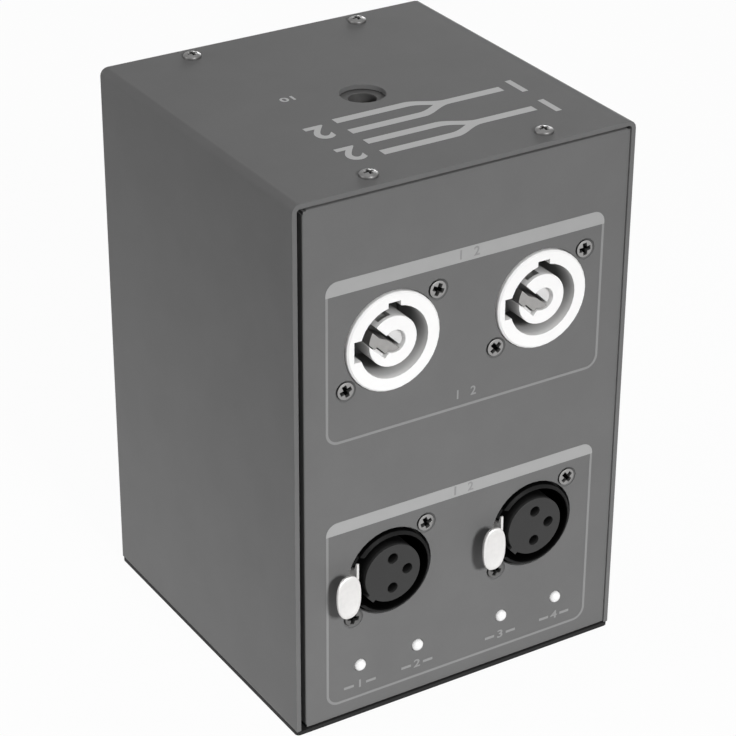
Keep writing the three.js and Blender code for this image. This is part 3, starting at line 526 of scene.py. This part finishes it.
# The lens is half an ellipse, r = radius * sin t and h = dome * cos t, carried on as a round rod with
# a collar behind the panel.
def placeLens(node):
    low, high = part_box(node)
    middle = (low + high) / 2
    length = (high.y - low.y) / mm - lens["dome"]
    t = np.radians(np.linspace(0, 90, lens["steps"]))
    dome = np.column_stack([lens["radius"] * np.sin(t), lens["dome"] * np.cos(t)])
    rod = [
        (lens["radius"], -lens["collarFrom"]),
        (lens["collar"], -lens["collarFrom"]),
        (lens["collar"], -lens["collarTo"]),
        (lens["radius"], -lens["collarTo"]),
        (lens["radius"], -length),
        (0, -length),
    ]
    points = turnedPoints(np.concatenate([dome, rod]), lens["sides"])
    mesh = tidyMesh(gridMesh(node + "_skin", points * mm, closedRows=True), crisp["lens"])
    face(mesh, "front", (middle.x, low.y + lens["dome"] * mm, middle.z))
    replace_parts(addPiece(node + "_skin", mesh, "box", "lamp_plastic"), node)


for count in range(1, 5):
    placeLens(f"lamp_{count}")
print("lenses: 4")


pad = {
    "across": 14.0,  # from the socket's axis to the pad's middle
    "halfWidth": 3.1, "halfHeight": 5.65, "power": 2.4, "sheet": 1.0, "dish": 0.3, "edge": 0.22,
    "sides": 96,
}


# The thumb pad: |x/a|^n + |z/b|^n = 1 shrunk to its middle in rows. Its front is sunk inside a raised
# rim, its edge is rounded. It takes the place of the flat pad on the CAD node's shape. Each row is its
# share of the outline and its depth behind the foremost point.
def dishPad(node, middleX):
    mesh = frame["nodes"][node].data.copy()
    mesh.name = node + "_skin"
    low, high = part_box(node)
    padBack = low.y + pad["sheet"] * mm
    work = bmesh.new()
    work.from_mesh(mesh)
    bmesh.ops.remove_doubles(work, verts=work.verts, dist=weld)
    flat = [f for f in work.faces if all(v.co.y < padBack + slack * mm for v in f.verts)]
    bmesh.ops.delete(work, geom=flat, context="FACES")
    bmesh.ops.holes_fill(work, edges=[edge for edge in work.edges if edge.is_boundary])
    shadeRound(work, crisp["skin"])
    t = np.linspace(0, 2 * math.pi, pad["sides"], endpoint=False)
    bulge = 2 / pad["power"]
    outlineX = pad["halfWidth"] * np.sign(np.cos(t)) * np.abs(np.cos(t)) ** bulge
    outlineZ = pad["halfHeight"] * np.sign(np.sin(t)) * np.abs(np.sin(t)) ** bulge
    dish, edge, sheet = pad["dish"], pad["edge"], pad["sheet"]
    rows = np.array(
        [(0.0, dish), (0.4, dish), (0.66, 0.85 * dish), (0.76, 0.4 * dish)]
        + [(0.82, 0.04), (0.88, 0.0), (0.94, 0.03), (0.98, 0.1), (1.0, edge)]
        + [(1.0, sheet - edge), (0.97, sheet), (0.0, sheet)]
    )
    middleZ = (low.z + high.z) / 2 / mm
    x = middleX + rows[:, :1] * outlineX
    z = middleZ + rows[:, :1] * outlineZ
    y = np.broadcast_to(low.y / mm + rows[:, 1:], x.shape)
    points = np.stack([x, y, z], -1) * mm
    dished = tidyMesh(gridMesh(node + "_pad", points, closedRows=True), crisp["pad"])
    work.from_mesh(dished)
    work.to_mesh(mesh)
    work.free()
    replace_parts(addPiece(node + "_skin", mesh, bodyOf[node], slotOf[node]), node)


socketAxis = {}
for name in ("dmx_out_1", "dmx_out_2"):
    low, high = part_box(f"{name}_insert")
    socketAxis[name] = (low.x + high.x) / 2 / mm
    dishPad(f"{name}_latch", socketAxis[name] - pad["across"])
print("latches:", len(socketAxis))


roundings = {"cover": 0.12, "front_panel": 0.1, "rear_panel": 0.1, "base_plate": 0.1}
smallRounding = 0.08  # all other nodes
done = {node for node in frame["nodes"] if "_screw_" in node or node.startswith("lamp_")}
done |= {f"{name}_latch" for name in socketAxis}
done |= {f"{name}_latch_spring" for name in socketAxis}
# Painted shade: the clamp plate under the top's hole takes the dark steel.
ownPaint = {"clamp_plate": holeShadeSteel}
ownPaint |= {f"power_out_{count}_contact": contactMetal for count in (1, 2)}
for node in frame["nodes"]:
    if node in done:
        continue
    reshape = tightFolds if node == "front_panel" else None
    dress(node, roundings.get(node, smallRounding), ownPaint.get(node), reshape)
# Each latch's leaf spring bends between its root and the corner that leans on the latch's tail; these
# two points are found here but dress does not use them, and the spring is drawn still. The leaf is 0.4
# mm thick and leaves its root
# 2 mm before its highest point along Y.
leaf = {"thickness": 0.4, "run": 2.0}
for name in socketAxis:
    low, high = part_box(f"{name}_latch_spring")
    half = leaf["thickness"] / 2 * mm
    root = (low.x + half, high.y - leaf["run"] * mm, high.z)
    tip = (high.x, high.y - half, high.z)
    bend = {"body": bodyOf[f"{name}_latch"], "root": root, "tip": tip}
    dress(f"{name}_latch_spring", 0, bend=bend)
print("skins:", len(frame["nodes"]) - len(done) + len(socketAxis))


# Heights above the base and distances from the front panel's middle line, in mm
printed = {
    "middle": 0.55, "side": 37.2, "corner": 3.0, "line": 0.65, "film": 0.03, "overFilm": 0.03,
    "upperTop": 116.2, "upperBand": 3.5, "upperFoot": 75.9,
    "lowerTop": 55.0, "lowerBand": 3.2, "lowerFoot": 5.0,
    "numbers": 3.2, "footNumbers": 79, "arcSteps": 12, "curveSteps": 4,
}
bandInk = moulding("band_print", 163, 0.55)
lineInk = moulding("line_print", 136, 0.55)
numberInk = moulding("number_print", 140, 0.55)
labelInk = moulding("label_print", 142, 0.55)
topInk = moulding("top_print", 190, 0.7)


# The outline of a rectangle with four corner radii, from the lower left corner round.
def roundedPath(left, right, foot, top, corners):
    parts = []
    middles = ((left, foot), (right, foot), (right, top), (left, top))
    for (x, z), radius, start in zip(middles, corners, (180, 270, 0, 90)):
        angle = np.radians(start + np.linspace(0, 90, printed["arcSteps"] if radius else 1))
        inwardX = 1 if x == left else -1
        inwardZ = 1 if z == foot else -1
        arcX = x + inwardX * radius + radius * np.cos(angle)
        arcZ = z + inwardZ * radius + radius * np.sin(angle)
        parts.append(np.stack([arcX, arcZ], -1))
    return np.concatenate(parts)


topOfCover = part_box("cover")[1].z / mm


# Flat points plus a height in mm, laid on the front panel or on the cover's top.
def lay(points, side):
    x, z, height = points[..., 0], points[..., 1], points[..., 2]
    if side == "front":
        return np.stack([x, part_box("front_panel")[0].y / mm - height, z], -1) * mm
    return np.stack([x, z, topOfCover + height], -1) * mm


# A filled outline of any shape: one face on top, one below, and a wall of four-sided faces round it.
def film(name, outline, side, ink):
    count = len(outline)
    heights = np.repeat([printed["film"], 0.0], count)[:, None]
    points = lay(np.concatenate([np.concatenate([outline, outline]), heights], -1), side)
    i = np.arange(count)
    wall = np.stack([i, (i + 1) % count, (i + 1) % count + count, i + count], -1)
    mesh = bpy.data.meshes.new(name)
    mesh.from_pydata(points.tolist(), [], [i.tolist(), (i[::-1] + count).tolist()] + wall.tolist())
    return addPiece(name, tidyMesh(mesh, crisp["print"]), "box", "painted_sheet", ink)


# A line of even width: each point of the path is moved half a width along the path's normal to either
# side, and the two ends are closed.
def stripe(name, path, width, side, ink):
    path = np.array(path, float)
    ahead = np.gradient(path, axis=0)
    normal = np.stack([-ahead[:, 1], ahead[:, 0]], -1) / np.linalg.norm(ahead, axis=1)[:, None]
    inner, outer = path - normal * width / 2, path + normal * width / 2
    flat = np.stack([inner, inner, outer, outer], 1)
    height = np.broadcast_to(np.array([0, 1, 1, 0])[:, None] * printed["film"], (len(path), 4, 1))
    points = np.concatenate([flat, height], -1)
    ends = [points[[end]].mean(1, keepdims=True).repeat(4, 1) for end in (0, -1)]
    points = np.concatenate([ends[0], points, ends[1]])
    mesh = gridMesh(name, lay(points, side), closedRows=True)
    return addPiece(name, tidyMesh(mesh, crisp["print"]), "box", "painted_sheet", ink)


# Plain numbers, turned and moved on their face: x' = x cos t - z sin t, z' = x sin t + z cos t.
def numeral(name, text, size, place, side, ink, turn=0.0, spread=1.0, weight=0.02, lift=0.0):
    curve = bpy.data.curves.new(name, "FONT")
    curve.body = text
    curve.size = size
    curve.offset = weight * size
    curve.extrude = printed["film"] / 2
    curve.align_x, curve.align_y = "CENTER", "CENTER"
    curve.resolution_u = printed["curveSteps"]
    draft = bpy.data.objects.new(name + "_draft", curve)
    bpy.context.scene.collection.objects.link(draft)
    bpy.context.view_layer.update()
    mesh = bpy.data.meshes.new_from_object(draft.evaluated_get(bpy.context.evaluated_depsgraph_get()))
    bpy.data.objects.remove(draft)
    flat = np.empty(len(mesh.vertices) * 3)
    mesh.vertices.foreach_get("co", flat)
    flat = flat.reshape(-1, 3) * (spread, 1, 1) + (0, 0, printed["film"] / 2 + lift)
    spin = math.radians(turn)
    spun = np.array([[math.cos(spin), math.sin(spin)], [-math.sin(spin), math.cos(spin)]])
    flat[:, :2] = flat[:, :2] @ spun + np.array(place)
    mesh.vertices.foreach_set("co", lay(flat, side).ravel())
    mesh.name = name
    return addPiece(name, tidyMesh(mesh, crisp["print"]), "box", "painted_sheet", ink)


# A frame round one pair of sockets: a pale band along the top and a thin line round the rest.
for name in ("upper", "lower"):
    top, band, foot = (printed[name + part] for part in ("Top", "Band", "Foot"))
    left, right = (printed["middle"] + share * printed["side"] for share in (-1, 1))
    corner = printed["corner"]
    outline = roundedPath(left, right, top - band, top, (0, 0, corner, corner))
    film(name + "_band", outline, "front", bandInk)
    inset = printed["line"] / 2
    outline = roundedPath(left + inset, right - inset, foot, top - band, (corner, corner, 0, 0))
    outline = np.concatenate([outline[-1:], outline[:-1]])
    stripe(name + "_outline", outline, printed["line"], "front", lineInk)
    place = (printed["middle"], top - band / 2)
    size, lift = printed["numbers"], printed["overFilm"]
    numeral(name + "_band_numbers", "1   2", size, place, "front", numberInk, lift=lift)
place = (printed["middle"], printed["footNumbers"])
numeral("upper_foot_numbers", "1   2", printed["numbers"], place, "front", labelInk)

# Under each lamp a number between two dashes
labels = {
    "height": 8.4, "across": (-28, -12, 12, 28), "size": 3.0, "spread": 1.3,
    "dashes": ((-4.4, -1.7), (1.7, 4.4)), "width": 0.7,
}
for count, across in enumerate(labels["across"]):
    x, z = across + printed["middle"], labels["height"]
    name = f"lamp_number_{count + 1}"
    numeral(name, str(count + 1), labels["size"], (x, z), "front", labelInk, spread=labels["spread"])
    for dash, (start, end) in enumerate(labels["dashes"]):
        path = [(x + start, z), (x + end, z)]
        stripe(f"lamp_dash_{count + 1}_{dash}", path, labels["width"], "front", labelInk)


# On the top, a line that forks in two with numbers at its ends, drawn to be read from the back, once
# for each kind of socket. A branch leaves the stem on a smooth step: y = spread * t^2 * (3 - 2 t).
fork = {
    "from": 33.0, "bend": 14.0, "run": 9.0, "to": -14.0, "rows": (-14.2, -27.6), "steps": 24,
    "spread": 3.4, "width": 2.5, "gap": 4.0, "number": 10.0, "twoWide": 2.0, "weight": 0.03,
}
holeNumber = {"text": "10", "size": 3.2, "place": (-16.3, 6.0), "spread": 1.4}  # by the clamp's hole


# One row's outline: along the upper branch to its tip and back to the crotch, then the same mirrored.
def forkOutline(row):
    t = np.linspace(0, 1, fork["steps"])
    x, y = fork["bend"] - t * fork["run"], fork["spread"] * t * t * (3 - 2 * t)
    half = fork["width"] / 2
    outer = np.column_stack([x, y + half])
    inner = np.column_stack([x, y - half])[y > half + 0.05][::-1]
    crotch = (np.interp(half, y, x), 0)
    tip = [(fork["to"], fork["spread"] + half), (fork["to"], fork["spread"] - half)]
    branch = np.concatenate([[(fork["from"] - fork["gap"], half)], outer, tip, inner])
    return np.concatenate([branch, [crotch], branch[::-1] * (1, -1)]) + (0, row)


for count, row in enumerate(fork["rows"]):
    film(f"fork_{count}", forkOutline(row), "top", topInk)
    outEnd = fork["to"] - fork["gap"] - fork["twoWide"]
    for end, text, x in (("in", "1", fork["from"]), ("out", "2", outEnd)):
        name, size, weight = f"fork_{count}_{end}", fork["number"], fork["weight"]
        numeral(name, text, size, (x, row), "top", topInk, 180, weight=weight)
text, size, place = (holeNumber[part] for part in ("text", "size", "place"))
numeral("top_number", text, size, place, "top", topInk, 180, holeNumber["spread"])
print("printing done")


# The photograph's place and direction, and its focal length in pixels of the 736 pixel frame
view = {
    "place": (-0.29249, -0.474621, 0.367183),
    "right": (0.851168, -0.524871, 0.004879),
    "ahead": (0.463413, 0.747072, -0.476584),
    "focal": 2601.07,
    "frame": 736,
    "sensor": 36,
}


# A place and three directions as an object's matrix.
def standing(columns, place):
    rows = np.column_stack(columns).tolist()
    return Matrix([(*row, where) for row, where in zip(rows, place)] + [(0, 0, 0, 1)])


scene = bpy.context.scene
ahead = np.array(view["ahead"]) / np.linalg.norm(view["ahead"])
right = np.array(view["right"]) / np.linalg.norm(view["right"])
camera = bpy.data.objects.new("camera", bpy.data.cameras.new("camera"))
scene.collection.objects.link(camera)
camera.matrix_world = standing([right, np.cross(right, ahead), -ahead], view["place"])
camera.data.sensor_width = view["sensor"]
camera.data.lens = view["focal"] / view["frame"] * view["sensor"]
camera.data.clip_start, camera.data.clip_end = 0.02, 20
scene.camera = camera
scene.view_settings.view_transform = "Standard"

# Powers in watts, places and sizes in metres. The narrow lamps aim below the box, so that their sides
# get brighter downwards.
worldLight = 0.14
lamps = {
    "key": {
        "power": 1.1, "place": (-0.05, -1.6, 0.85), "size": 0.3,
        "aim": (-0.03, 0, -0.14), "spread": 34,
    },
    "top": {"power": 3.2, "place": (0.1, 0.3, 1.7), "size": 1.2},
    "left": {
        "power": 1.08, "place": (-1.5, 0.35, 0.35), "size": 0.3,
        "aim": (0, 0, -0.32), "spread": 38,
    },
    "back": {"power": 1.3, "place": (1.1, 1.3, 0.3), "size": 0.6, "spread": 60},
}

# The world lights softly, and is plain white where the camera, gloss or glass sees it
world = bpy.data.worlds.new("studio")
scene.world = world
world.use_nodes = True
tree = world.node_tree
tree.nodes.clear()


# A node of the world's own tree with its settings.
def worldNode(kind, **settings):
    made = tree.nodes.new(kind)
    for key, value in settings.items():
        setattr(made, key, value)
    return made


rays = worldNode("ShaderNodeLightPath")
mirrored = worldNode("ShaderNodeMath", operation="MAXIMUM")
seen = worldNode("ShaderNodeMath", operation="MAXIMUM")
tree.links.new(rays.outputs["Is Glossy Ray"], mirrored.inputs[0])
tree.links.new(rays.outputs["Is Transmission Ray"], mirrored.inputs[1])
tree.links.new(rays.outputs["Is Camera Ray"], seen.inputs[0])
tree.links.new(mirrored.outputs[0], seen.inputs[1])
choice = worldNode("ShaderNodeMixShader")
tree.links.new(seen.outputs[0], choice.inputs[0])
for index, strength in ((1, worldLight), (2, 1.0)):
    glow = worldNode("ShaderNodeBackground")
    glow.inputs["Color"].default_value = (1, 1, 1, 1)
    glow.inputs["Strength"].default_value = strength
    tree.links.new(glow.outputs[0], choice.inputs[index])
tree.links.new(choice.outputs[0], worldNode("ShaderNodeOutputWorld").inputs[0])


# A square area lamp turned to a point; a smaller spread, in degrees, lets the light fall off around it.
def areaLamp(name, power, place, size, aim=(0, 0, 0.07), spread=180):
    light = bpy.data.lights.new(name, "AREA")
    light.energy, light.size = power, size
    light.spread = math.radians(spread)
    holder = bpy.data.objects.new(name, light)
    scene.collection.objects.link(holder)
    away = np.array(place) - np.array(aim)
    away = away / np.linalg.norm(away)
    side = np.cross((0, 0, 1), away) if abs(away[2]) < 0.99 else np.array((1.0, 0, 0))
    side = side / np.linalg.norm(side)
    holder.matrix_world = standing([side, np.cross(away, side), away], place)


for name, values in lamps.items():
    areaLamp(name + "_light", **values)
print("lamps:", len(lamps))

# The floor is white to the camera, and a share of the real light on it keeps the shadow
backdrop = {"size": 6.0, "level": -0.3, "pale": (0.7, 0.7, 0.7), "plainShare": 0.96}
floorPaint = Paint("floor_white", Base_Color=backdrop["pale"], Roughness=0.9)
flatWhite = floorPaint.node("ShaderNodeEmission", None, {"Color": (1.0, 1.0, 1.0), "Strength": 1.0})
path = floorPaint.node("ShaderNodeLightPath").socket.node.outputs
looks = [Wire(floorPaint, path[f"Is {ray} Ray"]) for ray in ("Camera", "Glossy", "Transmission")]
plain = looks[0].most(looks[1]).most(looks[2]) * backdrop["plainShare"]
shared = floorPaint.node(
    "ShaderNodeMixShader",
    None,
    {0: plain, 1: Wire(floorPaint, floorPaint.shader.outputs[0]), 2: flatWhite},
)
floorPaint.tree.links.new(shared.socket, floorPaint.tree.nodes["Material Output"].inputs["Surface"])
corners = np.array([-backdrop["size"], backdrop["size"]])
floorX, floorY = np.meshgrid(corners, corners)
floorPoints = np.stack([floorX, floorY, np.full((2, 2), backdrop["level"] * mm)], -1)
floor = bpy.data.objects.new("floor", gridMesh("floor", floorPoints))
scene.collection.objects.link(floor)
floor.data.materials.append(floorPaint.material)
print("stage done")
